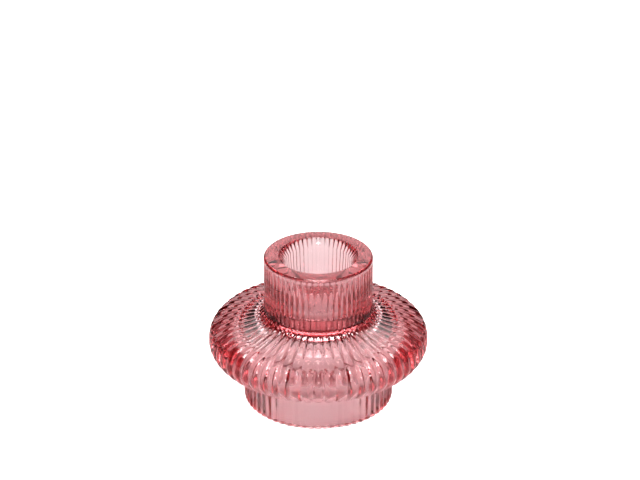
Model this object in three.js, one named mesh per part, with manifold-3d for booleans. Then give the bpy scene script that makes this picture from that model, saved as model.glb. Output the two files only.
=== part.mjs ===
// A low glass candlestick, one piece of moulded glass: a ribbed foot, a wide rounded disc
// and a straight neck with a socket for a dinner candle. The inside is blown out from below,
// so the foot stands on a flat ring round the mouth of a deep hollow. Sixty convex ribs run
// over the whole outside, from the foot's lower edge to just below the plain lip.
//
// Millimetres, +Z up, origin at the centre of the foot's lower face.

import * as THREE from "three";
import { mergeVertices } from "three/addons/utils/BufferGeometryUtils.js";
import Module from "manifold-3d";

// Driving dimensions. Outer radii are taken over the crests of the ribs.
const HEIGHT = 60;
const FOOT_RADIUS = 29;
const FOOT_HEIGHT = 13.3;
const DISC_RADIUS = 42.5;
const UNDERSIDE_RISE = 11; // from the top of the foot to the disc's widest ring
const SHOULDER_RISE = 11.2; // from the widest ring to the crease round the neck
const NECK_RADIUS = 20.9;
const COVE_WIDTH = 2.9; // hollow fillet between the crease and the straight neck
const COVE_RISE = 3.8;
const FOOT_EDGE = 0.8; // rounding of the foot's lower edge
const LIP_ROUNDING = 0.9;
const LIP_HEIGHT = 1.6; // plain band above the ribs
const RIB_RUNOUT = 0.9; // height over which a rib's top rounds over

// The candle socket: a flared mouth, then a slightly tapered wall down to a flat floor.
const SOCKET_RADIUS = 12.9;
const SOCKET_TAPER = 1.5; // how much narrower the floor is than the top, on the radius
const SOCKET_DEPTH = 21;
const MOUTH_FLARE = 2; // how much wider the rim is than the socket, on the radius
const MOUTH_DEPTH = 3;

// The hollow inside the foot and the disc. It leaves walls of these thicknesses, widens
// into a belly above the foot, and closes in a roof that is flat in the middle.
const FOOT_WALL = 4;
const SOCKET_FLOOR_WALL = 6; // between the socket's floor and the roof
const SHOULDER_WALL = 2.5; // least drop from the crease to the roof
const BELLY_START = 0.75; // share of the foot's height where the straight wall ends
const BELLY_WIDEST = 0.62; // share of the way from there up to the roof
const BELLY_SPREAD = 0.49; // how far the belly widens per millimetre that it rises
const ROOF_FLAT_RADIUS = 10;

const RIB_COUNT = 60;
const RIB_DEPTH_PER_RADIUS = 0.02; // ribs are deeper where they are wider

// How finely the round shapes are divided.
const STEPS_PER_RIB = 3; // one valley and the two ends of a flat crest
const CURVE_STEPS = 8;
const COVE_STEPS = 3;
const BELLY_STEPS = 6;
const ROUNDING_STEPS = 2;
const BORE_SEGMENTS = 60;

// Cutters reach past the face they open, so that the cut leaves no skin.
const CUTTER_OVERRUN = 2;

const SHOULDER_RADIUS = NECK_RADIUS + COVE_WIDTH; // the crease round the neck
const DISC_LEVEL = FOOT_HEIGHT + UNDERSIDE_RISE;
const SHOULDER_LEVEL = DISC_LEVEL + SHOULDER_RISE;
const NECK_BASE_LEVEL = SHOULDER_LEVEL + COVE_RISE;
const RIB_TOP_LEVEL = HEIGHT - LIP_HEIGHT;
const SOCKET_FLOOR_LEVEL = HEIGHT - SOCKET_DEPTH;

const ROOF_LEVEL = Math.min(
  SOCKET_FLOOR_LEVEL - SOCKET_FLOOR_WALL,
  SHOULDER_LEVEL - SHOULDER_WALL,
);
const HOLLOW_MOUTH_RADIUS = FOOT_RADIUS - FOOT_WALL;
const BELLY_START_LEVEL = BELLY_START * FOOT_HEIGHT;
const BELLY_LEVEL = BELLY_START_LEVEL + BELLY_WIDEST * (ROOF_LEVEL - BELLY_START_LEVEL);
const BELLY_RADIUS = HOLLOW_MOUTH_RADIUS + BELLY_SPREAD * (BELLY_LEVEL - BELLY_START_LEVEL);

const wasm = await Module();
wasm.setup();

// The disc's two curved faces. Each handle is a share of the face's own width and rise.
function undersideCurve() {
  const width = DISC_RADIUS - FOOT_RADIUS;
  return new THREE.CubicBezierCurve(
    new THREE.Vector2(FOOT_RADIUS, FOOT_HEIGHT),
    new THREE.Vector2(FOOT_RADIUS + 0.425 * width, FOOT_HEIGHT + 0.175 * UNDERSIDE_RISE),
    new THREE.Vector2(DISC_RADIUS, DISC_LEVEL - 0.53 * UNDERSIDE_RISE),
    new THREE.Vector2(DISC_RADIUS, DISC_LEVEL),
  );
}

function shoulderCurve() {
  const width = DISC_RADIUS - SHOULDER_RADIUS;
  return new THREE.CubicBezierCurve(
    new THREE.Vector2(DISC_RADIUS, DISC_LEVEL),
    new THREE.Vector2(DISC_RADIUS, DISC_LEVEL + 0.755 * SHOULDER_RISE),
    new THREE.Vector2(SHOULDER_RADIUS + 0.65 * width, SHOULDER_LEVEL - 0.25 * SHOULDER_RISE),
    new THREE.Vector2(SHOULDER_RADIUS, SHOULDER_LEVEL),
  );
}

// Hollow turn from the crease up to the upright neck. It leaves the crease on a slope, so
// the crease is a crisp edge.
function coveCurve() {
  return new THREE.QuadraticBezierCurve(
    new THREE.Vector2(SHOULDER_RADIUS, SHOULDER_LEVEL),
    new THREE.Vector2(NECK_RADIUS, SHOULDER_LEVEL + 0.4 * COVE_RISE),
    new THREE.Vector2(NECK_RADIUS, NECK_BASE_LEVEL),
  );
}

// A rounded outer corner: a quarter circle between two angles, counter-clockwise.
function cornerArc(centreRadius, centreLevel, rounding, startAngle) {
  const endAngle = startAngle + Math.PI / 2;
  return new THREE.EllipseCurve(
    centreRadius, centreLevel, rounding, rounding, startAngle, endAngle, false,
  );
}

// Outline over the rib crests, as [radius, level] points from the axis below, round the
// outside, to the axis above.
function crestOutline() {
  const footCorner = cornerArc(FOOT_RADIUS - FOOT_EDGE, FOOT_EDGE, FOOT_EDGE, -Math.PI / 2);
  const lipCorner = cornerArc(NECK_RADIUS - LIP_ROUNDING, HEIGHT - LIP_ROUNDING, LIP_ROUNDING, 0);
  return [
    new THREE.Vector2(0, 0),
    ...footCorner.getPoints(ROUNDING_STEPS),
    ...undersideCurve().getPoints(CURVE_STEPS),
    ...shoulderCurve().getPoints(CURVE_STEPS).slice(1),
    ...coveCurve().getPoints(COVE_STEPS).slice(1),
    new THREE.Vector2(NECK_RADIUS, RIB_TOP_LEVEL - RIB_RUNOUT),
    new THREE.Vector2(NECK_RADIUS, RIB_TOP_LEVEL),
    ...lipCorner.getPoints(ROUNDING_STEPS),
    new THREE.Vector2(0, HEIGHT),
  ];
}

// Depth of the valleys at a point of the outline. The lip above them is plain.
function ribDepth(point) {
  return point.y > RIB_TOP_LEVEL - RIB_RUNOUT / 2 ? 0 : RIB_DEPTH_PER_RADIUS * point.x;
}

// Direction out of the glass at each point of the outline. The foot's lower edge faces
// straight out, which keeps the face that it stands on flat.
function outwardDirections(outline) {
  return outline.map((point, index) => {
    if (point.y < FOOT_EDGE) {
      return new THREE.Vector2(1, 0);
    }
    const before = outline[index - 1];
    const after = outline[Math.min(index + 1, outline.length - 1)];
    return new THREE.Vector2(after.y - before.y, before.x - after.x).normalize();
  });
}

// The outline turned about the upright axis, with every valley pushed into the glass.
function ribbedBlank() {
  const outline = crestOutline();
  const outward = outwardDirections(outline);
  const steps = RIB_COUNT * STEPS_PER_RIB;
  const stepAngle = (2 * Math.PI) / steps;
  const geometry = new THREE.LatheGeometry(outline, steps);
  const position = geometry.getAttribute("position");
  for (let step = 0; step <= steps; step += 1) {
    // A crest lies on each row axis, so a valley lies half a rib away from it.
    const angle = (step % steps) * stepAngle + Math.PI / RIB_COUNT;
    const inValley = step % STEPS_PER_RIB === 0;
    outline.forEach((point, index) => {
      const depth = inValley ? ribDepth(point) : 0;
      const radius = point.x - depth * outward[index].x;
      const level = point.y - depth * outward[index].y;
      const vertex = step * outline.length + index;
      position.setXYZ(vertex, radius * Math.sin(angle), level, radius * Math.cos(angle));
    });
  }
  return geometry;
}

function socketCutter() {
  const flare = MOUTH_FLARE / MOUTH_DEPTH;
  return new THREE.LatheGeometry([
    new THREE.Vector2(0, SOCKET_FLOOR_LEVEL),
    new THREE.Vector2(SOCKET_RADIUS - SOCKET_TAPER, SOCKET_FLOOR_LEVEL),
    new THREE.Vector2(SOCKET_RADIUS, HEIGHT - MOUTH_DEPTH),
    new THREE.Vector2(
      SOCKET_RADIUS + flare * (MOUTH_DEPTH + CUTTER_OVERRUN),
      HEIGHT + CUTTER_OVERRUN,
    ),
    new THREE.Vector2(0, HEIGHT + CUTTER_OVERRUN),
  ], BORE_SEGMENTS);
}

// The belly's lower half swells out of the straight wall and is upright again at its widest.
function bellyCurve() {
  const handle = 0.45 * (BELLY_LEVEL - BELLY_START_LEVEL);
  return new THREE.CubicBezierCurve(
    new THREE.Vector2(HOLLOW_MOUTH_RADIUS, BELLY_START_LEVEL),
    new THREE.Vector2(HOLLOW_MOUTH_RADIUS, BELLY_START_LEVEL + handle),
    new THREE.Vector2(BELLY_RADIUS, BELLY_LEVEL - handle),
    new THREE.Vector2(BELLY_RADIUS, BELLY_LEVEL),
  );
}

// Its upper half turns over, level where it meets the flat middle of the roof.
function roofCurve() {
  const rise = ROOF_LEVEL - BELLY_LEVEL;
  const width = BELLY_RADIUS - ROOF_FLAT_RADIUS;
  return new THREE.CubicBezierCurve(
    new THREE.Vector2(BELLY_RADIUS, BELLY_LEVEL),
    new THREE.Vector2(BELLY_RADIUS, BELLY_LEVEL + 0.75 * rise),
    new THREE.Vector2(ROOF_FLAT_RADIUS + 0.75 * width, ROOF_LEVEL),
    new THREE.Vector2(ROOF_FLAT_RADIUS, ROOF_LEVEL),
  );
}

function hollowCutter() {
  return new THREE.LatheGeometry([
    new THREE.Vector2(0, -CUTTER_OVERRUN),
    new THREE.Vector2(HOLLOW_MOUTH_RADIUS, -CUTTER_OVERRUN),
    ...bellyCurve().getPoints(BELLY_STEPS),
    ...roofCurve().getPoints(BELLY_STEPS).slice(1),
    new THREE.Vector2(0, ROOF_LEVEL),
  ], BORE_SEGMENTS);
}

// A lathe turns about +Y, so each solid is stood up along +Z as it is taken over.
function toSolid(latheGeometry) {
  const upright = latheGeometry.rotateX(Math.PI / 2);
  upright.deleteAttribute("normal");
  upright.deleteAttribute("uv");
  const merged = mergeVertices(upright, 1e-4);
  return new wasm.Manifold(new wasm.Mesh({
    numProp: 3,
    vertProperties: Float32Array.from(merged.getAttribute("position").array),
    triVerts: Uint32Array.from(merged.getIndex().array),
  }));
}

function toGeometry(solid) {
  const result = solid.getMesh();
  const geometry = new THREE.BufferGeometry();
  geometry.setAttribute("position", new THREE.BufferAttribute(result.vertProperties, 3));
  geometry.setIndex(new THREE.BufferAttribute(result.triVerts, 1));
  geometry.computeVertexNormals();
  return geometry;
}

function glassBody() {
  const solid = toSolid(ribbedBlank())
    .subtract(toSolid(socketCutter()))
    .subtract(toSolid(hollowCutter()));
  const roseGlass = new THREE.MeshStandardMaterial({
    color: 0xd8848f,
    roughness: 0.05,
    metalness: 0,
    transparent: true,
    opacity: 0.6,
  });
  const mesh = new THREE.Mesh(toGeometry(solid), roseGlass);
  mesh.name = "glass_body";
  return mesh;
}

const candlestick = new THREE.Group();
candlestick.add(glassBody());

export default candlestick;
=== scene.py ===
import math

import bpy
import numpy as np
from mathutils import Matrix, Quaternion, Vector


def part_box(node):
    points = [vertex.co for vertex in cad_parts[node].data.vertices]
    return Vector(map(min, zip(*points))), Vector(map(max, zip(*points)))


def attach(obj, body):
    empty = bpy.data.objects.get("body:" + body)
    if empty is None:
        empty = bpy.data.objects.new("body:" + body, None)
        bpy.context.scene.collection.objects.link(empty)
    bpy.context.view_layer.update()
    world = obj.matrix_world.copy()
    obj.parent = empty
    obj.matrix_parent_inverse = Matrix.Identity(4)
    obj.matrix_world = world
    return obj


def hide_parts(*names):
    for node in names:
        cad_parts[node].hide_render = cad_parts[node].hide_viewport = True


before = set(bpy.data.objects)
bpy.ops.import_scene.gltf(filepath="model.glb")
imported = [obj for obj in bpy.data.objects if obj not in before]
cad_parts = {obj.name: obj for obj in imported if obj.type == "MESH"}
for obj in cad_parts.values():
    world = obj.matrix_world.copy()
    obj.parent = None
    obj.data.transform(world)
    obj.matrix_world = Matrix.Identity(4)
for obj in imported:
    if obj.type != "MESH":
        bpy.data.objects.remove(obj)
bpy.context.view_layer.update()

MM = 0.001

# The outer form, taken over the crests of the ribs. The overall sizes are the frame's.
_, BOX_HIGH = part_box("glass_body")
HEIGHT = BOX_HIGH.z
DISC_RADIUS = BOX_HIGH.x
FOOT_RADIUS = 29 * MM
FOOT_HEIGHT = 13.3 * MM
UNDERSIDE_RISE = 11 * MM
SHOULDER_RISE = 11.2 * MM
NECK_RADIUS = 20.9 * MM
COVE_WIDTH = 2.9 * MM
COVE_RISE = 3.8 * MM
FOOT_EDGE = 0.8 * MM
LIP_ROUNDING = 0.9 * MM
LIP_HEIGHT = 1.6 * MM
RIB_RUNOUT = 0.9 * MM

# The candle socket.
SOCKET_RADIUS = 12.9 * MM
SOCKET_TAPER = 1.5 * MM
SOCKET_DEPTH = 21 * MM
SOCKET_FILLET = 1.5 * MM
MOUTH_FLARE = 2 * MM
MOUTH_DEPTH = 3 * MM
MOUTH_ROUNDING = 0.4 * MM

# The hollow inside the foot and the disc. BELLY_START is a share of the foot's height,
# BELLY_WIDEST of the way from there to the roof, and BELLY_SPREAD the widening per rise.
FOOT_WALL = 4 * MM
SOCKET_FLOOR_WALL = 6 * MM
BELLY_START = 0.75
BELLY_WIDEST = 0.62
BELLY_SPREAD = 0.49
BELLY_HANDLE = 0.45
ROOF_HANDLE = 0.75
ROOF_FLAT_RADIUS = 10 * MM
HOLLOW_EDGE = 0.4 * MM

# Ribs.
RIB_COUNT = 60
RIB_DEPTH_PER_RADIUS = 0.02
POINTS_PER_RIB = 12
DEPTH_SPREAD = 0.07  # how much shallower than the deepest a valley may be, as a share
DEPTH_SEED = 1
CREST_SHARE = 0.45  # how far from a rib's crest its round face runs, in rib widths
POLE_RADIUS = 0.1 * MM  # the smallest ring round a flat middle
SAME_POINT = 0.001 * MM  # points nearer than this are one point

# The glass. Its surface varies a little in noise patterns, and its depth holds the tint.
REFRACTIVE_INDEX = 1.5
CLEAREST = (1, 1, 1, 1)
LEAST_CLEAR = (0.97, 0.93, 0.94, 1)
CLEARNESS_NOISE = 90
ROUGHEST = 0.02
ROUGHNESS_NOISE = 160
RIPPLE_STRENGTH = 0.05
RIPPLE_HEIGHT = 0.5 * MM
RIPPLE_NOISE = 120
NOISE_LOW, NOISE_HIGH = 0.3, 0.7  # the noise values taken as a pattern's two ends
TINT = (0.8, 0.29, 0.32, 1)
TINT_DENSITY = 58

# The floor.
FLOOR_HALF_WIDTH = 1.5
FLOOR_GREY = (0.8, 0.8, 0.8, 1)
FLOOR_ROUGHNESS = 0.85
FLOOR_GLOW = 0.6  # lifts the floor to white for the camera only
AIR_GAP = 0.3 * MM  # the thin air gap under a standing piece of glass

# Soft lights of the studio: the compass bearing (0 behind the glass, 90 to its right) and
# the elevation that each is seen at, the angles from its middle where it starts to fade and
# is gone, and its brightness. All angles are in degrees.
SOFT_LIGHTS = [
    (0, 24, 14, 17, 0.8),  # backdrop
    (0, 56, 10, 13, 5.0),  # light over the backdrop
    (0, 90, 14, 17, 2.5),  # ceiling panel
    (180, 68, 9, 12, 9.0),  # light over the camera
    (180, 15, 6, 9, 8.0),  # small light in front, beside the camera
]
ROOM_BRIGHTNESS = 0.01  # what is seen where there is no light
BACKDROP_GLOW = 1  # lifts the backdrop to white for the camera only

# The camera looks down at the middle of the object from far off through a long lens.
CAMERA_ELEVATION = 29.1
CAMERA_DISTANCE = 0.852
LENS = 123.75
SENSOR_WIDTH = 36
AIM_LEVEL = 29 * MM
TILT_UP = 2.25  # the object sits below the middle of the picture
TURN_RIGHT = 0.044
EXPOSURE = 0.55

# How often light may bend through the glass, and shine off it, on its way.
BOUNCES_THROUGH = 24
BOUNCES_OFF = 12

SHOULDER_RADIUS = NECK_RADIUS + COVE_WIDTH
DISC_LEVEL = FOOT_HEIGHT + UNDERSIDE_RISE
SHOULDER_LEVEL = DISC_LEVEL + SHOULDER_RISE
NECK_BASE_LEVEL = SHOULDER_LEVEL + COVE_RISE
RIB_TOP_LEVEL = HEIGHT - LIP_HEIGHT
SOCKET_FLOOR_LEVEL = HEIGHT - SOCKET_DEPTH
HOLLOW_MOUTH_RADIUS = FOOT_RADIUS - FOOT_WALL
ROOF_LEVEL = SOCKET_FLOOR_LEVEL - SOCKET_FLOOR_WALL
BELLY_START_LEVEL = BELLY_START * FOOT_HEIGHT
BELLY_LEVEL = BELLY_START_LEVEL + BELLY_WIDEST * (ROOF_LEVEL - BELLY_START_LEVEL)
BELLY_RADIUS = HOLLOW_MOUTH_RADIUS + BELLY_SPREAD * (BELLY_LEVEL - BELLY_START_LEVEL)


def straight(start, end, steps):
    """Points on a straight line, as (radius, level) rows."""
    share = np.linspace(0, 1, steps + 1)[:, None]
    return (1 - share) * np.array(start) + share * np.array(end)


def arc(centre, radius, start, end, steps):
    """Points on a circular arc between two angles in degrees, as (radius, level) rows."""
    angle = np.radians(np.linspace(start, end, steps + 1))
    return np.array(centre) + radius * np.stack([np.cos(angle), np.sin(angle)], axis=1)


def bezier(start, start_handle, end_handle, end, steps):
    """Points on a cubic curve, as (radius, level) rows."""
    t = np.linspace(0, 1, steps + 1)[:, None]
    return (
        (1 - t) ** 3 * np.array(start)
        + 3 * (1 - t) ** 2 * t * np.array(start_handle)
        + 3 * (1 - t) * t**2 * np.array(end_handle)
        + t**3 * np.array(end)
    )


def underside_curve():
    """The disc's underside, from the top of the foot out to the widest point."""
    width = DISC_RADIUS - FOOT_RADIUS
    return bezier(
        (FOOT_RADIUS, FOOT_HEIGHT),
        (FOOT_RADIUS + 0.425 * width, FOOT_HEIGHT + 0.175 * UNDERSIDE_RISE),
        (DISC_RADIUS, DISC_LEVEL - 0.53 * UNDERSIDE_RISE),
        (DISC_RADIUS, DISC_LEVEL),
        steps=20,
    )


def shoulder_curve():
    """The disc's top, from the widest point in to the crease round the neck."""
    width = DISC_RADIUS - SHOULDER_RADIUS
    return bezier(
        (DISC_RADIUS, DISC_LEVEL),
        (DISC_RADIUS, DISC_LEVEL + 0.755 * SHOULDER_RISE),
        (SHOULDER_RADIUS + 0.65 * width, SHOULDER_LEVEL - 0.25 * SHOULDER_RISE),
        (SHOULDER_RADIUS, SHOULDER_LEVEL),
        steps=24,
    )


def cove_curve():
    """The small hollow curve from the crease up to the straight of the neck."""
    return bezier(
        (SHOULDER_RADIUS, SHOULDER_LEVEL),
        (NECK_RADIUS + COVE_WIDTH / 3, SHOULDER_LEVEL + 0.27 * COVE_RISE),
        (NECK_RADIUS, SHOULDER_LEVEL + 0.6 * COVE_RISE),
        (NECK_RADIUS, NECK_BASE_LEVEL),
        steps=10,
    )


def ribbed_outline():
    """The outside from the foot's lower edge to the tops of the ribs."""
    return join_outlines(
        arc((FOOT_RADIUS - FOOT_EDGE, FOOT_EDGE), FOOT_EDGE, -90, 0, 4),
        straight((FOOT_RADIUS, FOOT_EDGE), (FOOT_RADIUS, FOOT_HEIGHT), 4),
        underside_curve(),
        shoulder_curve(),
        cove_curve(),
        straight((NECK_RADIUS, NECK_BASE_LEVEL), (NECK_RADIUS, RIB_TOP_LEVEL - RIB_RUNOUT), 5),
        straight((NECK_RADIUS, RIB_TOP_LEVEL - RIB_RUNOUT), (NECK_RADIUS, RIB_TOP_LEVEL), 6),
    )


def lip_and_socket_outline():
    """The plain lip, the flared mouth and the socket, down to the middle of its floor."""
    flare = math.degrees(math.atan2(MOUTH_DEPTH, MOUTH_FLARE))
    mouth_radius = SOCKET_RADIUS + MOUTH_FLARE + MOUTH_ROUNDING
    mouth_foot = (SOCKET_RADIUS - MOUTH_ROUNDING, HEIGHT - MOUTH_DEPTH)
    fillet_radius = SOCKET_RADIUS - SOCKET_TAPER - SOCKET_FILLET
    return join_outlines(
        arc((NECK_RADIUS - LIP_ROUNDING, HEIGHT - LIP_ROUNDING), LIP_ROUNDING, 0, 90, 6),
        arc((mouth_radius, HEIGHT - MOUTH_ROUNDING), MOUTH_ROUNDING, 90, 90 + flare, 3),
        arc(mouth_foot, MOUTH_ROUNDING, flare / 2, 0, 2),
        arc((fillet_radius, SOCKET_FLOOR_LEVEL + SOCKET_FILLET), SOCKET_FILLET, 0, -90, 6),
        straight((fillet_radius, SOCKET_FLOOR_LEVEL), (POLE_RADIUS, SOCKET_FLOOR_LEVEL), 3),
    )


def hollow_outline():
    """The hollow, from the middle of its roof over the belly to the flat foot ring."""
    rise = ROOF_LEVEL - BELLY_LEVEL
    width = BELLY_RADIUS - ROOF_FLAT_RADIUS
    handle = BELLY_HANDLE * (BELLY_LEVEL - BELLY_START_LEVEL)
    mouth_corner = (HOLLOW_MOUTH_RADIUS + HOLLOW_EDGE, HOLLOW_EDGE)
    return join_outlines(
        straight((POLE_RADIUS, ROOF_LEVEL), (ROOF_FLAT_RADIUS, ROOF_LEVEL), 3),
        bezier(
            (ROOF_FLAT_RADIUS, ROOF_LEVEL),
            (ROOF_FLAT_RADIUS + ROOF_HANDLE * width, ROOF_LEVEL),
            (BELLY_RADIUS, BELLY_LEVEL + ROOF_HANDLE * rise),
            (BELLY_RADIUS, BELLY_LEVEL),
            steps=16,
        ),
        bezier(
            (BELLY_RADIUS, BELLY_LEVEL),
            (BELLY_RADIUS, BELLY_LEVEL - handle),
            (HOLLOW_MOUTH_RADIUS, BELLY_START_LEVEL + handle),
            (HOLLOW_MOUTH_RADIUS, BELLY_START_LEVEL),
            steps=14,
        ),
        arc(mouth_corner, HOLLOW_EDGE, 180, 270, 3),
    )


def join_outlines(*pieces):
    """One outline out of several, without the points that two neighbours share."""
    joined = [pieces[0]]
    for piece in pieces[1:]:
        meets = np.linalg.norm(piece[0] - joined[-1][-1]) < SAME_POINT
        joined.append(piece[1:] if meets else piece)
    return np.concatenate(joined)


def outward_directions(outline):
    """The direction out of the glass at each point of an outline that runs up its outside."""
    along = np.gradient(outline, axis=0)
    outward = np.stack([along[:, 1], -along[:, 0]], axis=1)
    outward /= np.linalg.norm(outward, axis=1)[:, None]
    outward[outline[:, 1] < FOOT_EDGE] = (1, 0)  # keeps the foot ring flat
    return outward


def rib_depths(outline):
    """Depth of the valleys along the outline. It runs out in a round end under the lip."""
    above_start = (outline[:, 1] - (RIB_TOP_LEVEL - RIB_RUNOUT)) / RIB_RUNOUT
    runout = np.sqrt(1 - np.clip(above_start, 0, 1) ** 2)
    return RIB_DEPTH_PER_RADIUS * outline[:, 0] * runout


def rib_section():
    """How deep each point round the body lies, from 0 on a crest to 1 in the deepest valley.

    A rib's face is a parabola, and a short reversed one rounds the valley out.
    """
    valleys_passed = np.arange(RIB_COUNT * POINTS_PER_RIB) / POINTS_PER_RIB
    from_crest = np.abs(valleys_passed % 1 - 0.5)
    face = 2 * from_crest**2 / CREST_SHARE
    valley = 1 - 2 * (0.5 - from_crest) ** 2 / (0.5 - CREST_SHARE)
    shallower = np.random.default_rng(DEPTH_SEED).uniform(0, DEPTH_SPREAD, RIB_COUNT)
    depth = 1 - np.interp(valleys_passed, np.arange(RIB_COUNT), shallower, period=RIB_COUNT)
    return depth * np.where(from_crest < CREST_SHARE, face, valley)


def glass_mesh():
    """The whole body, turned from its outline, with the rib valleys pushed into the glass."""
    ribbed = ribbed_outline()
    smooth_before = hollow_outline()
    smooth_after = lip_and_socket_outline()
    outline = np.concatenate([smooth_before, ribbed, smooth_after])
    push = np.zeros_like(outline)
    start = len(smooth_before)
    push[start : start + len(ribbed)] = -rib_depths(ribbed)[:, None] * outward_directions(ribbed)

    around = RIB_COUNT * POINTS_PER_RIB
    angle = 2 * np.pi * np.arange(around) / around + np.pi / RIB_COUNT
    section = rib_section()
    radius = outline[:, :1] + push[:, :1] * section
    level = outline[:, 1:] + push[:, 1:] * section
    rings = np.stack([radius * np.cos(angle), radius * np.sin(angle), level], axis=2)
    return ring_mesh("candlestick_glass", rings)


def ring_mesh(name, rings):
    """A closed mesh through rings of points, with a fan of triangles at either end."""
    ring_count, around, _ = rings.shape
    index = np.arange(ring_count * around).reshape(ring_count, around)
    lower, upper = index[:-1], index[1:]
    quads = np.stack([lower, np.roll(lower, -1, 1), np.roll(upper, -1, 1), upper], axis=2)
    first_pole = ring_count * around
    last_pole = first_pole + 1
    first_fan = [(first_pole, int(b), int(a)) for a, b in zip(index[0], np.roll(index[0], -1))]
    last_fan = [(last_pole, int(a), int(b)) for a, b in zip(index[-1], np.roll(index[-1], -1))]
    poles = np.array([rings[0].mean(axis=0), rings[-1].mean(axis=0)])
    points = np.concatenate([rings.reshape(-1, 3), poles])
    mesh = bpy.data.meshes.new(name)
    mesh.from_pydata(points.tolist(), [], quads.reshape(-1, 4).tolist() + first_fan + last_fan)
    mesh.update()
    mesh.shade_smooth()
    return mesh


def new_material(name):
    """A material, with its nodes, its surface shader and its output."""
    material = bpy.data.materials.new(name)
    material.use_nodes = True
    tree = material.node_tree
    return material, tree, tree.nodes["Principled BSDF"], tree.nodes["Material Output"]


def noise_between(tree, scale, low, high):
    """A soft cloudy pattern that runs between two values, fixed to the piece."""
    place = tree.nodes.new("ShaderNodeTexCoord")
    noise = tree.nodes.new("ShaderNodeTexNoise")
    noise.inputs["Scale"].default_value = scale
    noise.inputs["Detail"].default_value = 2
    tree.links.new(place.outputs["Object"], noise.inputs["Vector"])
    spread = tree.nodes.new("ShaderNodeMapRange")
    spread.inputs["From Min"].default_value = NOISE_LOW
    spread.inputs["From Max"].default_value = NOISE_HIGH
    spread.inputs["To Min"].default_value = low
    spread.inputs["To Max"].default_value = high
    tree.links.new(noise.outputs["Fac"], spread.inputs["Value"])
    return spread.outputs["Result"]


def rose_glass():
    """Clear moulded glass, tinted through its depth, with the faint ripple of a fire polish."""
    material, tree, shader, output = new_material("rose_glass")
    shader.inputs["Transmission Weight"].default_value = 1
    shader.inputs["IOR"].default_value = REFRACTIVE_INDEX
    surface = tree.nodes.new("ShaderNodeMix")
    surface.data_type = "RGBA"
    surface.inputs["A"].default_value = CLEAREST
    surface.inputs["B"].default_value = LEAST_CLEAR
    clearness = noise_between(tree, CLEARNESS_NOISE, 0, 1)
    tree.links.new(clearness, surface.inputs["Factor"])
    tree.links.new(surface.outputs["Result"], shader.inputs["Base Color"])
    roughness = noise_between(tree, ROUGHNESS_NOISE, 0, ROUGHEST)
    tree.links.new(roughness, shader.inputs["Roughness"])
    ripple = tree.nodes.new("ShaderNodeBump")
    ripple.inputs["Strength"].default_value = RIPPLE_STRENGTH
    ripple.inputs["Distance"].default_value = RIPPLE_HEIGHT
    tree.links.new(noise_between(tree, RIPPLE_NOISE, 0, 1), ripple.inputs["Height"])
    tree.links.new(ripple.outputs["Normal"], shader.inputs["Normal"])
    tint = tree.nodes.new("ShaderNodeVolumeAbsorption")
    tint.inputs["Color"].default_value = TINT
    tint.inputs["Density"].default_value = TINT_DENSITY
    tree.links.new(tint.outputs["Volume"], output.inputs["Volume"])
    return material


def seen_directly(tree, brightness):
    """A brightness that only the camera's own rays see, not what the glass bends."""
    path = tree.nodes.new("ShaderNodeLightPath")
    glow = tree.nodes.new("ShaderNodeMath")
    glow.operation = "MULTIPLY"
    glow.inputs[1].default_value = brightness
    tree.links.new(path.outputs["Is Camera Ray"], glow.inputs[0])
    return glow.outputs["Value"]


def pale_floor():
    """The pale table top that the candlestick stands on."""
    material, tree, shader, _ = new_material("studio_floor")
    shader.inputs["Base Color"].default_value = FLOOR_GREY
    shader.inputs["Roughness"].default_value = FLOOR_ROUGHNESS
    shader.inputs["Emission Color"].default_value = (1, 1, 1, 1)
    tree.links.new(seen_directly(tree, FLOOR_GLOW), shader.inputs["Emission Strength"])
    signs = [(-1, -1), (1, -1), (1, 1), (-1, 1)]
    corners = [(x * FLOOR_HALF_WIDTH, y * FLOOR_HALF_WIDTH, -AIR_GAP) for x, y in signs]
    mesh = bpy.data.meshes.new("studio_floor")
    mesh.from_pydata(corners, [], [(0, 1, 2, 3)])
    mesh.materials.append(material)
    floor = bpy.data.objects.new("studio_floor", mesh)
    bpy.context.scene.collection.objects.link(floor)
    return floor


def soft_light(tree, bearing, elevation, full, gone, brightness):
    """The brightness of one round soft light, by direction."""
    east, up = math.radians(bearing), math.radians(elevation)
    direction = (math.cos(up) * math.sin(east), math.cos(up) * math.cos(east), math.sin(up))
    place = tree.nodes.new("ShaderNodeTexCoord")
    along = tree.nodes.new("ShaderNodeVectorMath")
    along.operation = "DOT_PRODUCT"
    along.inputs[1].default_value = direction
    tree.links.new(place.outputs["Generated"], along.inputs[0])
    fade = tree.nodes.new("ShaderNodeMapRange")
    fade.interpolation_type = "SMOOTHSTEP"
    fade.inputs["From Min"].default_value = math.cos(math.radians(gone))
    fade.inputs["From Max"].default_value = math.cos(math.radians(full))
    fade.inputs["To Max"].default_value = brightness
    tree.links.new(along.outputs["Value"], fade.inputs["Value"])
    return fade.outputs["Result"]


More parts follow.
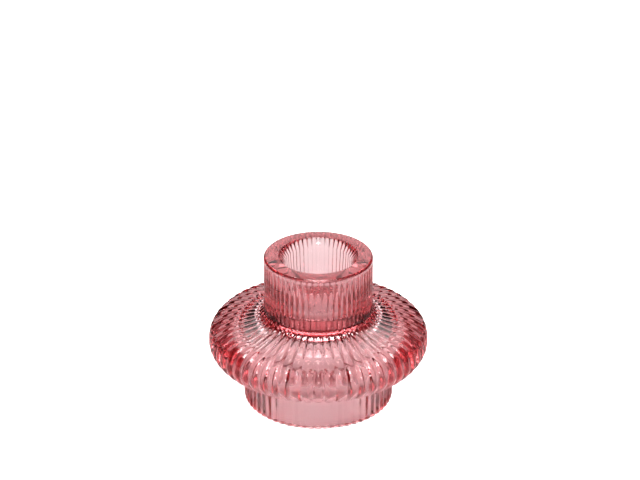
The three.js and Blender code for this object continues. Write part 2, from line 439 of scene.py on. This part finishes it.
def studio_light():
    """A dim room with the soft lights in it, and a white backdrop for the camera only."""
    world = bpy.data.worlds.new("studio")
    bpy.context.scene.world = world
    world.use_nodes = True
    tree = world.node_tree
    background = tree.nodes["Background"]
    background.inputs["Color"].default_value = (1, 1, 1, 1)
    total = seen_directly(tree, BACKDROP_GLOW)
    for light in SOFT_LIGHTS:
        add = tree.nodes.new("ShaderNodeMath")
        add.operation = "ADD"
        tree.links.new(total, add.inputs[0])
        tree.links.new(soft_light(tree, *light), add.inputs[1])
        total = add.outputs["Value"]
    room = tree.nodes.new("ShaderNodeMath")
    room.operation = "MAXIMUM"
    room.inputs[1].default_value = ROOM_BRIGHTNESS
    tree.links.new(total, room.inputs[0])
    tree.links.new(room.outputs["Value"], background.inputs["Strength"])


def studio_camera():
    camera = bpy.data.cameras.new("camera")
    camera.lens = LENS
    camera.sensor_width = SENSOR_WIDTH
    stand = bpy.data.objects.new("camera", camera)
    bpy.context.scene.collection.objects.link(stand)
    elevation = math.radians(CAMERA_ELEVATION)
    aim = Vector((0, 0, AIM_LEVEL))
    away = Vector((0, -math.cos(elevation), math.sin(elevation)))
    stand.location = aim + CAMERA_DISTANCE * away
    level = (-away).to_track_quat("-Z", "Y")
    tilt = Quaternion((1, 0, 0), math.radians(TILT_UP))
    turn = Quaternion((0, 1, 0), -math.radians(TURN_RIGHT))
    stand.rotation_mode = "QUATERNION"
    stand.rotation_quaternion = level @ tilt @ turn
    bpy.context.scene.camera = stand


def render_settings():
    scene = bpy.context.scene
    scene.view_settings.view_transform = "Standard"
    scene.view_settings.look = "High Contrast"
    scene.view_settings.exposure = EXPOSURE
    scene.cycles.max_bounces = BOUNCES_THROUGH
    scene.cycles.transmission_bounces = BOUNCES_THROUGH
    scene.cycles.glossy_bounces = BOUNCES_OFF
    scene.cycles.caustics_refractive = True
    scene.cycles.caustics_reflective = True
    scene.cycles.blur_glossy = 0


def glass_body():
    """The one visible piece, fixed to the frame in place of the CAD body."""
    mesh = glass_mesh()
    mesh.materials.append(rose_glass())
    body = bpy.data.objects.new("candlestick_glass", mesh)
    bpy.context.scene.collection.objects.link(body)
    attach(body, "root")
    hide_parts("glass_body")


studio_camera()
render_settings()
studio_light()
pale_floor()
glass_body()
